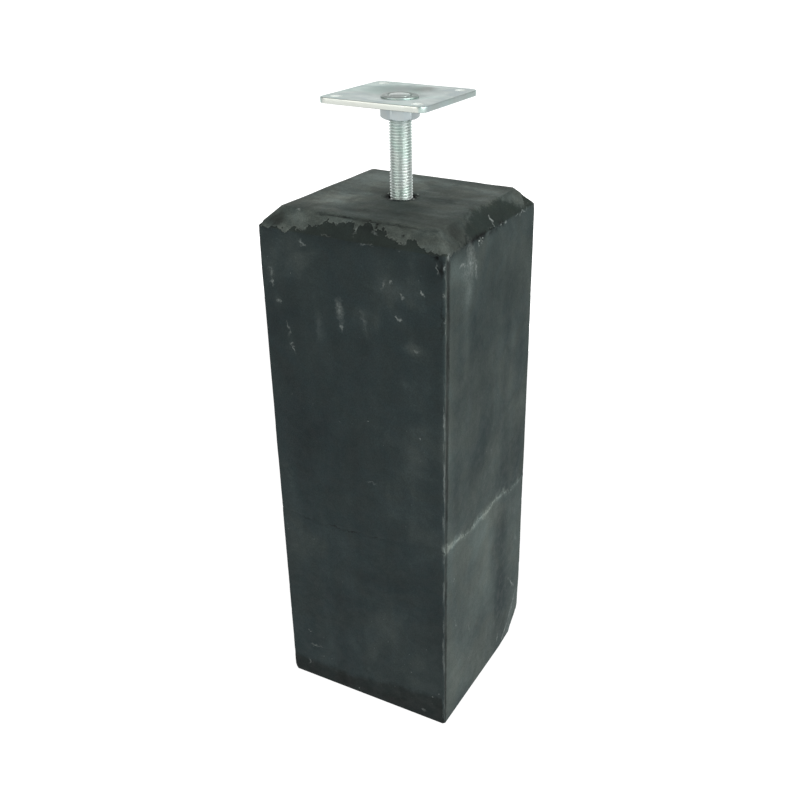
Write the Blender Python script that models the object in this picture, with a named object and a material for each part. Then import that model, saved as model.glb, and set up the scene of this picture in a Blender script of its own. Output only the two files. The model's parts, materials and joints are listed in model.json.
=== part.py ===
# A cast concrete post footing with a height-adjustable steel plate.
# Four pieces: the concrete block, the threaded rod that stands in its hole, the hex nut and the post plate,
# which is welded round the rod's upper end. Metres, +Z up; the origin is the middle of the block's underside.
# The block's sides face -Y, +X, +Y and -X, and its most broken corner is the lower one at +X, +Y.

import math

import bmesh
import bpy
from mathutils import Vector

MM = 0.001

# Room between neighbours, and how far a cutter runs past what it cuts
FIT_GAP = 0.3 * MM
OVERRUN = 2 * MM

# Concrete block
BLOCK_WIDTH = 180 * MM
BLOCK_HEIGHT = 500 * MM
TOP_CHAMFER = 15 * MM
ARRIS_CHAMFER = 2 * MM
ROD_HOLE_DIAMETER = 23 * MM
ROD_HOLE_DEPTH = 185 * MM
# Each broken corner: the corner's signs in x and y, then what is gone up the arris, along x and along y
BROKEN_CORNERS = (
    ((1, 1), 26 * MM, 14 * MM, 24 * MM),
    ((-1, -1), 21 * MM, 8 * MM, 6 * MM),
)
# A second, flatter break runs up from the big one
SPALL_HEIGHT = 60 * MM
SPALL_DEPTH = 2.5 * MM
SPALL_WIDTH = 52 * MM

# M20 rod with its 2.5 mm right-hand thread
ROD_DIAMETER = 20 * MM
THREAD_PITCH = 2.5 * MM
THREAD_DEPTH = 1.35 * MM
ROD_LENGTH = 200 * MM
ROD_END_CHAMFER = 1.5 * MM
THREAD_SIDES = 16

# Hex nut
NUT_ACROSS_FLATS = 30 * MM
NUT_HEIGHT = 12.5 * MM
NUT_FACE_DIAMETER = 28 * MM
NUT_CHAMFER_ANGLE = math.radians(30)
NUT_TURN = math.radians(3)

# Post plate, dished so that its weld lies below the seat
PLATE_SIDE = 100 * MM
PLATE_THICKNESS = 5 * MM
PLATE_CORNER_RADIUS = 8 * MM
PLATE_EDGE_BREAK = 0.6 * MM
SEAT_ABOVE_BLOCK = 88 * MM
DISH_DEPTH = 3 * MM
DISH_RADIUS = 40 * MM
DISH_FLOOR_RADIUS = 17 * MM
SCREW_HOLE_DIAMETER = 9 * MM
SCREW_HOLE_SPACING = 76 * MM

# Weld round the rod's end
WELD_RADIUS = 16 * MM
WELD_HEIGHT = 2 * MM
WELD_SINK = 0.6 * MM

ROUND_SIDES = 48
SMALL_ROUND_SIDES = 24
CORNER_STEPS = 6

HALF_BLOCK = BLOCK_WIDTH / 2
SEAT_Z = BLOCK_HEIGHT + SEAT_ABOVE_BLOCK
PLATE_UNDERSIDE_Z = SEAT_Z - PLATE_THICKNESS
DISH_FLOOR_Z = SEAT_Z - DISH_DEPTH
DISH_UNDERSIDE_Z = PLATE_UNDERSIDE_Z - DISH_DEPTH
WELD_TOP_Z = DISH_FLOOR_Z + WELD_HEIGHT
ROD_TOP_Z = WELD_TOP_Z
NUT_TOP_Z = DISH_UNDERSIDE_Z - FIT_GAP
ROD_CLEAR_RADIUS = ROD_DIAMETER / 2 + FIT_GAP


def clear_scene():
    for obj in list(bpy.data.objects):
        bpy.data.objects.remove(obj, do_unlink=True)


def material(name, color, roughness, metallic):
    made = bpy.data.materials.new(name)
    made.use_nodes = True
    shader = made.node_tree.nodes["Principled BSDF"]
    shader.inputs["Base Color"].default_value = (*color, 1)
    shader.inputs["Roughness"].default_value = roughness
    shader.inputs["Metallic"].default_value = metallic
    return made


# Rings of points, counter-clockwise seen from above

def circle_ring(radius, z, sides=ROUND_SIDES):
    turns = (2 * math.pi * step / sides for step in range(sides))
    return [Vector((radius * math.cos(a), radius * math.sin(a), z)) for a in turns]


def hexagon_ring(across_flats, z, turn):
    corner_radius = across_flats / (2 * math.cos(math.pi / 6))
    turns = (turn + math.pi / 6 + math.pi / 3 * step for step in range(6))
    return [Vector((corner_radius * math.cos(a), corner_radius * math.sin(a), z)) for a in turns]


def cut_square_ring(half, cut, z):
    signs = ((1, 1), (-1, 1), (-1, -1), (1, -1))
    ring = []
    for sx, sy in signs:
        near_x = Vector((sx * half, sy * (half - cut), z))
        near_y = Vector((sx * (half - cut), sy * half, z))
        ring += [near_x, near_y] if sx * sy > 0 else [near_y, near_x]
    return ring


def round_square_ring(half, radius, z):
    ring = []
    for quarter in range(4):
        middle_angle = math.pi / 4 + quarter * math.pi / 2
        centre_reach = (half - radius) * math.sqrt(2)
        centre = Vector((centre_reach * math.cos(middle_angle), centre_reach * math.sin(middle_angle), z))
        for step in range(CORNER_STEPS + 1):
            angle = quarter * math.pi / 2 + step / CORNER_STEPS * math.pi / 2
            ring.append(centre + Vector((radius * math.cos(angle), radius * math.sin(angle), 0)))
    return ring


# Solids

def object_from_bmesh(name, bm):
    bmesh.ops.recalc_face_normals(bm, faces=bm.faces)
    mesh = bpy.data.meshes.new(name)
    bm.to_mesh(mesh)
    bm.free()
    obj = bpy.data.objects.new(name, mesh)
    bpy.context.scene.collection.objects.link(obj)
    return obj


def loft(name, rings):
    # A closed solid through rings of equally many points, from the lowest to the highest
    bm = bmesh.new()
    rows = [[bm.verts.new(point) for point in ring] for ring in rings]
    count = len(rings[0])
    for low, high in zip(rows, rows[1:]):
        for i in range(count):
            j = (i + 1) % count
            bm.faces.new((low[i], low[j], high[j], high[i]))
    bm.faces.new(list(reversed(rows[0])))
    bm.faces.new(rows[-1])
    return object_from_bmesh(name, bm)


def turned(name, profile, sides=ROUND_SIDES):
    # profile: (radius, z) pairs from the lowest to the highest
    return loft(name, [circle_ring(radius, z, sides) for radius, z in profile])


def hull(name, points):
    bm = bmesh.new()
    for point in points:
        bm.verts.new(point)
    bmesh.ops.convex_hull(bm, input=bm.verts)
    return object_from_bmesh(name, bm)


def combine(target, tool, operation):
    # Applies one Boolean at once and takes the tool away
    modifier = target.modifiers.new(operation, "BOOLEAN")
    modifier.operation = operation
    modifier.solver = "EXACT"
    modifier.object = tool
    evaluated = target.evaluated_get(bpy.context.evaluated_depsgraph_get())
    result = bpy.data.meshes.new_from_object(evaluated)
    target.modifiers.remove(modifier)
    target.data = result
    bpy.data.objects.remove(tool, do_unlink=True)


def finish(obj, look, sharp_degrees=35):
    # Welds what a Boolean leaves almost touching, then shades round faces smooth
    bm = bmesh.new()
    bm.from_mesh(obj.data)
    bmesh.ops.remove_doubles(bm, verts=bm.verts, dist=0.002 * MM)
    bmesh.ops.dissolve_degenerate(bm, edges=bm.edges, dist=0.002 * MM)
    bmesh.ops.triangulate(bm, faces=bm.faces)
    bm.to_mesh(obj.data)
    bm.free()
    obj.data.materials.clear()
    obj.data.materials.append(look)
    obj.data.shade_smooth()
    obj.data.set_sharp_from_angle(angle=math.radians(sharp_degrees))


# Concrete block

def corner_break(signs, up, along_x, along_y):
    # The piece missing from a lower corner: a wedge that reaches outside the block on all three sides
    sx, sy = signs
    corner = Vector((sx * HALF_BLOCK, sy * HALF_BLOCK, 0))
    out_x = Vector((sx * OVERRUN, 0, 0))
    out_y = Vector((0, sy * OVERRUN, 0))
    down = Vector((0, 0, -OVERRUN))
    top = corner + Vector((0, 0, up))
    on_x = corner - Vector((sx * along_x, 0, 0))
    on_y = corner - Vector((0, sy * along_y, 0))
    points = [top, top + out_x, top + out_y, top + out_x + out_y]
    points += [on_x, on_x + out_y, on_x + down, on_x + out_y + down]
    points += [on_y, on_y + out_x, on_y + down, on_y + out_x + down]
    points.append(corner + out_x + out_y + down)
    return hull("break_cutter", points)


def spall_break():
    # The thin flake gone from the +X side above its broken corner
    face_x = HALF_BLOCK
    top = Vector((face_x, HALF_BLOCK + OVERRUN, SPALL_HEIGHT))
    foot = Vector((face_x, HALF_BLOCK - SPALL_WIDTH, -OVERRUN))
    deep = Vector((face_x - SPALL_DEPTH, HALF_BLOCK + OVERRUN, -OVERRUN))
    out = Vector((OVERRUN, 0, 0))
    points = [top, foot, deep, top + out, foot + out, deep + out]
    return hull("spall_cutter", points)


def concrete_block(look):
    shoulder_z = BLOCK_HEIGHT - TOP_CHAMFER
    block = loft("concrete_block", [
        cut_square_ring(HALF_BLOCK, ARRIS_CHAMFER, 0),
        cut_square_ring(HALF_BLOCK, ARRIS_CHAMFER, shoulder_z),
        cut_square_ring(HALF_BLOCK - TOP_CHAMFER, ARRIS_CHAMFER, BLOCK_HEIGHT),
    ])
    for signs, up, along_x, along_y in BROKEN_CORNERS:
        combine(block, corner_break(signs, up, along_x, along_y), "DIFFERENCE")
    combine(block, spall_break(), "DIFFERENCE")
    radius = ROD_HOLE_DIAMETER / 2
    hole = turned("hole_cutter", [(radius, BLOCK_HEIGHT - ROD_HOLE_DEPTH), (radius, BLOCK_HEIGHT + OVERRUN)])
    combine(block, hole, "DIFFERENCE")
    finish(block, look)
    return block


# Threaded rod

def long_thread(bottom_z, top_z):
    # Crest and root rows wound into one helix: a row's last point leads on to the first point two rows up
    bm = bmesh.new()
    rows_per_pitch = 2
    row_count = rows_per_pitch * math.ceil((top_z - bottom_z) / THREAD_PITCH + 1)
    crest = ROD_DIAMETER / 2
    rows = []
    for row in range(row_count + rows_per_pitch):
        radius = crest if row % rows_per_pitch else crest - THREAD_DEPTH
        points = []
        for side in range(THREAD_SIDES):
            share = side / THREAD_SIDES
            angle = 2 * math.pi * share
            z = bottom_z + THREAD_PITCH * (row / rows_per_pitch + share - 1)
            points.append(bm.verts.new((radius * math.cos(angle), radius * math.sin(angle), z)))
        rows.append(points)

    def vertex(row, side):
        turns, rest = divmod(side, THREAD_SIDES)
        return rows[row + turns * rows_per_pitch][rest]

    last_row = row_count - 1
    for row in range(last_row):
        for side in range(THREAD_SIDES):
            bm.faces.new((vertex(row, side), vertex(row, side + 1), vertex(row + 1, side + 1), vertex(row + 1, side)))
    for row, steps in ((0, range(rows_per_pitch + 1)), (last_row, range(rows_per_pitch + 1))):
        rim = [vertex(row, side) for side in range(THREAD_SIDES)]
        rim += [rows[row + step][0] for step in reversed(steps) if step]
        middle = bm.verts.new((0, 0, sum(v.co.z for v in rim) / len(rim)))
        for here, there in zip(rim, rim[1:] + rim[:1]):
            bm.faces.new((here, there, middle))
    bmesh.ops.delete(bm, geom=[v for v in bm.verts if not v.link_faces], context="VERTS")
    return object_from_bmesh("threaded_rod", bm)


def threaded_rod(look):
    bottom_z = ROD_TOP_Z - ROD_LENGTH
    rod = long_thread(bottom_z, ROD_TOP_Z)
    end = ROD_DIAMETER / 2 - ROD_END_CHAMFER
    full = ROD_DIAMETER / 2 + FIT_GAP
    rise = full - end
    envelope = turned("rod_envelope", [
        (end, bottom_z),
        (full, bottom_z + rise),
        (full, ROD_TOP_Z - rise),
        (end, ROD_TOP_Z),
    ])
    combine(rod, envelope, "INTERSECT")
    finish(rod, look)
    return rod


# Hex nut

def hex_nut(look):
    bottom_z = NUT_TOP_Z - NUT_HEIGHT
    nut = loft("hex_nut", [
        hexagon_ring(NUT_ACROSS_FLATS, bottom_z, NUT_TURN),
        hexagon_ring(NUT_ACROSS_FLATS, NUT_TOP_Z, NUT_TURN),
    ])
    face = NUT_FACE_DIAMETER / 2
    reach = NUT_ACROSS_FLATS / 2 / math.cos(math.pi / 6) + OVERRUN
    drop = (reach - face) * math.tan(NUT_CHAMFER_ANGLE)
    envelope = turned("nut_envelope", [
        (face, bottom_z),
        (reach, bottom_z + drop),
        (reach, NUT_TOP_Z - drop),
        (face, NUT_TOP_Z),
    ])
    combine(nut, envelope, "INTERSECT")
    bore = turned("nut_bore", [(ROD_CLEAR_RADIUS, bottom_z - OVERRUN), (ROD_CLEAR_RADIUS, NUT_TOP_Z + OVERRUN)])
    combine(nut, bore, "DIFFERENCE")
    finish(nut, look)
    return nut


# Post plate with its weld

def dish_profile(floor_z, rim_z):
    return [(DISH_FLOOR_RADIUS, floor_z), (DISH_RADIUS, rim_z)]


def weld_profile():
    # Half of a low rounded bead, from its outer foot up to its flat crown
    rounding = WELD_HEIGHT
    inner = WELD_RADIUS - rounding
    foot_z = DISH_FLOOR_Z
    profile = [(WELD_RADIUS, foot_z - WELD_SINK)]
    for step in range(CORNER_STEPS + 1):
        angle = math.pi / 2 * step / CORNER_STEPS
        profile.append((inner + rounding * math.cos(angle), foot_z + WELD_HEIGHT * math.sin(angle)))
    return profile


def screw_hole_centres():
    reach = SCREW_HOLE_SPACING / 2
    return [(sx * reach, sy * reach) for sx in (-1, 1) for sy in (-1, 1)]


def post_plate(look):
    half = PLATE_SIDE / 2
    inset = half - PLATE_EDGE_BREAK
    inset_radius = PLATE_CORNER_RADIUS - PLATE_EDGE_BREAK
    plate = loft("post_plate", [
        round_square_ring(inset, inset_radius, PLATE_UNDERSIDE_Z),
        round_square_ring(half, PLATE_CORNER_RADIUS, PLATE_UNDERSIDE_Z + PLATE_EDGE_BREAK),
        round_square_ring(half, PLATE_CORNER_RADIUS, SEAT_Z - PLATE_EDGE_BREAK),
        round_square_ring(inset, inset_radius, SEAT_Z),
    ])
    slope = DISH_DEPTH / (DISH_RADIUS - DISH_FLOOR_RADIUS)
    bulge_rim = (DISH_RADIUS + WELD_SINK / slope, PLATE_UNDERSIDE_Z + WELD_SINK)
    combine(plate, turned("bulge", [(DISH_FLOOR_RADIUS, DISH_UNDERSIDE_Z), bulge_rim]), "UNION")
    recess = turned("recess", dish_profile(DISH_FLOOR_Z, SEAT_Z) + [(DISH_RADIUS, SEAT_Z + OVERRUN)])
    combine(plate, recess, "DIFFERENCE")
    combine(plate, turned("weld", weld_profile()), "UNION")
    rod_bore = turned("rod_bore", [
        (ROD_CLEAR_RADIUS, DISH_UNDERSIDE_Z - OVERRUN),
        (ROD_CLEAR_RADIUS, WELD_TOP_Z + OVERRUN),
    ])
    combine(plate, rod_bore, "DIFFERENCE")
    for x, y in screw_hole_centres():
        radius = SCREW_HOLE_DIAMETER / 2
        drill = turned("drill", [(radius, PLATE_UNDERSIDE_Z - DISH_DEPTH), (radius, SEAT_Z + OVERRUN)], SMALL_ROUND_SIDES)
        drill.location = (x, y, 0)
        combine(plate, drill, "DIFFERENCE")
    finish(plate, look)
    return plate


def main():
    clear_scene()
    concrete = material("concrete", (0.10, 0.115, 0.12), 0.85, 0.0)
    zinc = material("zinc_plated_steel", (0.66, 0.70, 0.69), 0.35, 1.0)
    concrete_block(concrete)
    # The head turns in the block's thread: the plate, nut and rod rise and sink together
    head = bpy.data.objects.new("height_adjust", None)
    head.location = (0, 0, BLOCK_HEIGHT)
    bpy.context.scene.collection.objects.link(head)
    bpy.context.view_layer.update()
    for piece in (threaded_rod(zinc), hex_nut(zinc), post_plate(zinc)):
        piece.parent = head
        piece.matrix_parent_inverse = head.matrix_world.inverted()


main()
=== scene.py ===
import json
import math

import bmesh
import bpy
import numpy as np
from mathutils import Matrix, Vector

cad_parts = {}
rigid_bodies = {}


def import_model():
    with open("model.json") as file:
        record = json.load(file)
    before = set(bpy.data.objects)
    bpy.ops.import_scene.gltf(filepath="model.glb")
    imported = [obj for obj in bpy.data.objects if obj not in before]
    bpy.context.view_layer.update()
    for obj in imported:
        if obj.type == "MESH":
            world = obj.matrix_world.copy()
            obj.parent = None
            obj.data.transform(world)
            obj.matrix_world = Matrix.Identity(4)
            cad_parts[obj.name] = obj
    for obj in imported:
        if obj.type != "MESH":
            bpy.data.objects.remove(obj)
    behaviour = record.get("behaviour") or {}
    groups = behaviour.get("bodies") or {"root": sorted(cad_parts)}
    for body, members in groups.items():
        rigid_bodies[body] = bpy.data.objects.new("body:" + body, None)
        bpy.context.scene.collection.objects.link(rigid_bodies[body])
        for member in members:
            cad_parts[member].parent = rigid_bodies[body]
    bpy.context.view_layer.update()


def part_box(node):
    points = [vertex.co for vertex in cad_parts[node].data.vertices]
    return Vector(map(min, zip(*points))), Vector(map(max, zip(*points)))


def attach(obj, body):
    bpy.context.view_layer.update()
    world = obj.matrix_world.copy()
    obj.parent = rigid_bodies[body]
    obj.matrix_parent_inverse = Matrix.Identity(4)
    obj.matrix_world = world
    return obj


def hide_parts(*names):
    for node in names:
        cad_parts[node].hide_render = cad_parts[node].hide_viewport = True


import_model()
mm = 0.001
blockLow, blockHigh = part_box("concrete_block")
rodLow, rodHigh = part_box("threaded_rod")
nutLow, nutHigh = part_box("hex_nut")
plateLow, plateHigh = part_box("post_plate")
blockWidth = blockHigh.x - blockLow.x
blockHalf = blockWidth / 2
blockTop = blockHigh.z
seatZ = plateHigh.z
print("frame loaded")


# Camera

cameraView = {
    "place": (0.4248, -0.733, 0.7253),
    "yaw": 26.60,             # degrees, turned from looking along +Y
    "pitch": 26.78,           # degrees, looking down
    "roll": -0.51,
    "focalPixels": 976.8,
    "centrePixel": (458.7, 402.4),
    "imagePixels": 800,
    "sensor": 36,
}


def makeCamera(view):
    yaw, pitch, roll = (math.radians(view[key]) for key in ("yaw", "pitch", "roll"))
    forward = Vector((-math.sin(yaw) * math.cos(pitch), math.cos(yaw) * math.cos(pitch), -math.sin(pitch)))
    level = Vector((math.cos(yaw), math.sin(yaw), 0))
    down = forward.cross(level)
    right = math.cos(roll) * level + math.sin(roll) * down
    lower = math.cos(roll) * down - math.sin(roll) * level
    data = bpy.data.cameras.new("camera")
    data.sensor_width = view["sensor"]
    data.lens = view["focalPixels"] * view["sensor"] / view["imagePixels"]
    data.shift_x = (view["imagePixels"] / 2 - view["centrePixel"][0]) / view["imagePixels"]
    data.shift_y = (view["centrePixel"][1] - view["imagePixels"] / 2) / view["imagePixels"]
    data.clip_end = 200
    obj = bpy.data.objects.new("camera", data)
    turn = Matrix((right, -lower, -forward)).transposed().to_4x4()
    obj.matrix_world = Matrix.Translation(view["place"]) @ turn
    bpy.context.scene.collection.objects.link(obj)
    bpy.context.scene.camera = obj


makeCamera(cameraView)


# Helpers for nodes

class Wire:
    # A node's output that can be reckoned with
    def __init__(self, socket):
        self.socket = socket

    def math(self, operation, *others):
        node = self.socket.id_data.nodes.new("ShaderNodeMath")
        node.operation = operation
        for place, value in zip(node.inputs, (self, *others)):
            feed(place, value)
        return Wire(node.outputs[0])

    def __add__(self, other):
        return self.math("ADD", other)

    def __sub__(self, other):
        return self.math("SUBTRACT", other)

    def __rsub__(self, other):
        return self.math("MULTIPLY_ADD", -1, other)

    def __mul__(self, other):
        return self.math("MULTIPLY", other)

    def __truediv__(self, other):
        return self.math("DIVIDE", other)

    def __abs__(self):
        return self.math("ABSOLUTE")

    __radd__ = __add__
    __rmul__ = __mul__


def feed(socket, value):
    if isinstance(value, Wire):
        socket.id_data.links.new(value.socket, socket)
    elif socket.type == "RGBA":
        socket.default_value = (*value, 1)
    else:
        socket.default_value = value


def larger(first, second):
    return first.math("MAXIMUM", second)


def sway(value, amount):
    # A noise's swing about its middle
    return (value - 0.5) * amount


class Nodes:
    def __init__(self, tree):
        self.tree = tree

    def add(self, kind, values=None, output=0, **settings):
        node = self.tree.nodes.new(kind)
        for key, setting in settings.items():
            setattr(node, key, setting)
        for key, value in (values or {}).items():
            feed(node.inputs[key], value)
        return Wire(node.outputs[output])

    def split(self, vector):
        node = self.tree.nodes.new("ShaderNodeSeparateXYZ")
        feed(node.inputs[0], vector)
        return [Wire(socket) for socket in node.outputs]

    def ramp(self, value, low, high, toLow=0, toHigh=1, kind="SMOOTHSTEP"):
        values = {"Value": value, "From Min": low, "From Max": high, "To Min": toLow, "To Max": toHigh}
        return self.add("ShaderNodeMapRange", values, interpolation_type=kind)

    def noise(self, vector, scale, detail=3, roughness=0.55, distortion=0):
        return self.add("ShaderNodeTexNoise", {
            "Vector": vector,
            "Scale": scale,
            "Detail": detail,
            "Roughness": roughness,
            "Distortion": distortion,
        }, "Fac")

    def measure(self, operation, vector, other=(0, 0, 0)):
        # A vector's length, its distance from another or its product with it
        return self.add("ShaderNodeVectorMath", {0: vector, 1: other}, "Value", operation=operation)


class Material(Nodes):
    def __init__(self, name):
        self.made = bpy.data.materials.new(name)
        self.made.use_nodes = True
        super().__init__(self.made.node_tree)
        self.here = self.add("ShaderNodeTexCoord", output="Object")

    def stretched(self, scale, turn=(0, 0, 0)):
        return self.add("ShaderNodeMapping", {"Vector": self.here, "Scale": scale, "Rotation": turn})

    def vertex(self, name):
        return self.add("ShaderNodeAttribute", output="Fac", attribute_name=name)

    def mix(self, factor, first, second, kind="MIX"):
        values = {"Factor": factor, 6: first, 7: second}
        return self.add("ShaderNodeMix", values, 2, data_type="RGBA", blend_type=kind)

    def colors(self, value, steps):
        # A colour ramp from (place, colour) pairs
        node = self.tree.nodes.new("ShaderNodeValToRGB")
        elements = node.color_ramp.elements
        while len(elements) < len(steps):
            elements.new(0.5)
        for element, (spot, color) in zip(elements, steps):
            element.position = spot
            element.color = (*color, 1)
        feed(node.inputs["Fac"], value)
        return Wire(node.outputs["Color"])

    def bumps(self, *layers):
        # From (height, depth in metres) pairs, the coarse one first
        normal = None
        for height, depth in layers:
            values = {"Height": height, "Distance": depth}
            if normal:
                values["Normal"] = normal
            normal = self.add("ShaderNodeBump", values)
        return normal

    def finish(self, values):
        shader = self.tree.nodes["Principled BSDF"]
        for key, value in values.items():
            feed(shader.inputs[key], value)
        return self.made


# Helpers for meshes

def meshObject(name, points, faces):
    mesh = bpy.data.meshes.new(name)
    mesh.from_pydata([tuple(point) for point in points], [], faces)
    mesh.update()
    obj = bpy.data.objects.new(name, mesh)
    bpy.context.scene.collection.objects.link(obj)
    return obj


def gridFaces(rowCount, columnCount, closeRows=False):
    # Quads between rows of points that each close on themselves
    faces = []
    for row in range(rowCount if closeRows else rowCount - 1):
        nextRow = (row + 1) % rowCount
        for column in range(columnCount):
            nextColumn = (column + 1) % columnCount
            faces.append((
                row * columnCount + column,
                row * columnCount + nextColumn,
                nextRow * columnCount + nextColumn,
                nextRow * columnCount + column,
            ))
    return faces


def ringPoints(profile, angles, x=0, y=0):
    # A ring of points round an upright axis for each (radius, height)
    rings = []
    for reach, z in profile:
        ring = [x + reach * np.cos(angles), y + reach * np.sin(angles), z + 0 * angles]
        rings.append(np.stack(ring, 1))
    return np.concatenate(rings)


def vertexArray(mesh, key="co"):
    flat = np.zeros(len(mesh.vertices) * 3)
    mesh.vertices.foreach_get(key, flat)
    return flat.reshape(-1, 3)


def writeVertices(mesh, places):
    mesh.vertices.foreach_set("co", places.ravel())
    mesh.update()


def writeValue(mesh, name, values):
    attribute = mesh.attributes.new(name, "FLOAT", "POINT")
    attribute.data.foreach_set("value", np.asarray(values, np.float32))


def smoothStep(value, low=0.0, high=1.0):
    share = np.clip((value - low) / (high - low), 0, 1)
    return share * share * (3 - 2 * share)


def lattice(places, cell, seed):
    # Smooth value noise from -1 to 1 over any points, the same on every run
    grid = places / cell
    base = np.floor(grid).astype(np.int64)
    part = grid - base
    ease = part * part * (3 - 2 * part)
    total = np.zeros(len(places))
    for corner in range(8):
        step = np.array([(corner >> axis) & 1 for axis in range(3)])
        key = (base + step) @ np.array([73856093, 19349663, 83492791]) + seed * 2654435761
        key = (key ^ (key >> 13)) * 1274126177 & 0x7FFFFFFF
        key = (key ^ (key >> 15)) * 668265263 & 0x7FFFFFFF
        value = (key % 65536) / 32767.5 - 1
        total += value * np.prod(np.where(step, ease, 1 - ease), axis=1)
    return total


def layeredNoise(places, cell, seed, layers=3):
    total = np.zeros(len(places))
    for layer in range(layers):
        total += lattice(places, cell / 2**layer, seed + layer) / 2**layer
    return total / 1.6


def smoothShade(obj, sharpDegrees=180):
    obj.data.shade_smooth()
    if sharpDegrees < 180:
        obj.data.set_sharp_from_angle(angle=math.radians(sharpDegrees))


def settle(obj):
    # Takes the evaluated shape as the object's own mesh, without its modifiers
    mesh = bpy.data.meshes.new_from_object(obj.evaluated_get(bpy.context.evaluated_depsgraph_get()))
    obj.modifiers.clear()
    obj.data = mesh
    return obj


def place(obj, body, slot, nodes=()):
    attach(obj, body)
    if nodes:
        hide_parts(*nodes)


class GeometryTree(Nodes):
    # A Geometry Nodes tree with named inputs
    def __init__(self, name, inputs):
        super().__init__(bpy.data.node_groups.new(name, "GeometryNodeTree"))
        kinds = {float: "NodeSocketFloat", int: "NodeSocketInt", bpy.types.Material: "NodeSocketMaterial"}
        sockets = self.tree.interface
        for way in ("INPUT", "OUTPUT"):
            sockets.new_socket("Geometry", in_out=way, socket_type="NodeSocketGeometry")
        self.inputs = inputs
        self.ids = {}
        for key, value in inputs.items():
            self.ids[key] = sockets.new_socket(key, in_out="INPUT", socket_type=kinds[type(value)]).identifier
        self.start = self.tree.nodes.new("NodeGroupInput")
        self.end = self.tree.nodes.new("NodeGroupOutput")

    def __getitem__(self, key):
        return Wire(self.start.outputs[key])

    def sheet(self, columns, rows):
        # A grid to be bent, and how far along and across it each point is, from 0 to 1
        sizes = {"Size X": 1, "Size Y": 1, "Vertices X": columns, "Vertices Y": rows}
        along, across, _ = self.split(self.add("GeometryNodeInputPosition"))
        return self.add("GeometryNodeMeshGrid", sizes), along + 0.5, across + 0.5

    def wind(self, sheet, radius, angle, height):
        # Lays the sheet round the z axis and closes it
        spot = self.add("ShaderNodeCombineXYZ", {
            0: radius * angle.math("COSINE"), 1: radius * angle.math("SINE"), 2: height,
        })
        wound = self.add("GeometryNodeSetPosition", {"Geometry": sheet, "Position": spot})
        closed = self.add("GeometryNodeMergeByDistance", {"Geometry": wound, "Distance": 0.005 * mm})
        self.close(self.add("GeometryNodeSetShadeSmooth", {"Geometry": closed}))

    def close(self, geometry):
        # Every tree ends in plain geometry with its material on
        real = self.add("GeometryNodeRealizeInstances", {"Geometry": geometry})
        painted = self.add("GeometryNodeSetMaterial", {"Geometry": real, "Material": self["Material"]})
        feed(self.end.inputs[0], painted)

    def run(self, obj):
        modifier = obj.modifiers.new(self.tree.name, "NODES")
        modifier.node_group = self.tree
        for key, value in self.inputs.items():
            modifier[self.ids[key]] = value
        return settle(obj)


# Concrete block

blockShape = {
    "chamfer": 15 * mm,
    "arris": 2 * mm,
    "holeRadius": 11.5 * mm,
    "holeDepth": 185 * mm,
    "columnSteps": (2.2 * mm, 2.2 * mm, 4.6 * mm, 4.6 * mm),       # along the -Y, +X, +Y and -X sides
    "columnFineSteps": (0.9 * mm, 0.9 * mm, 1.5 * mm, 1.5 * mm),   # near the arrises
    "columnFineReach": 7 * mm,
    "rowStep": 3.4 * mm,
    "rowFineStep": 1.5 * mm,
    "rowFineZones": ((0, 8 * mm), (184 * mm, 214 * mm), (446 * mm, 486 * mm)),
    "chamferRows": 17,
    "topRows": 38,
    "underRows": 10,
    "holeRows": 10,
}
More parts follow.
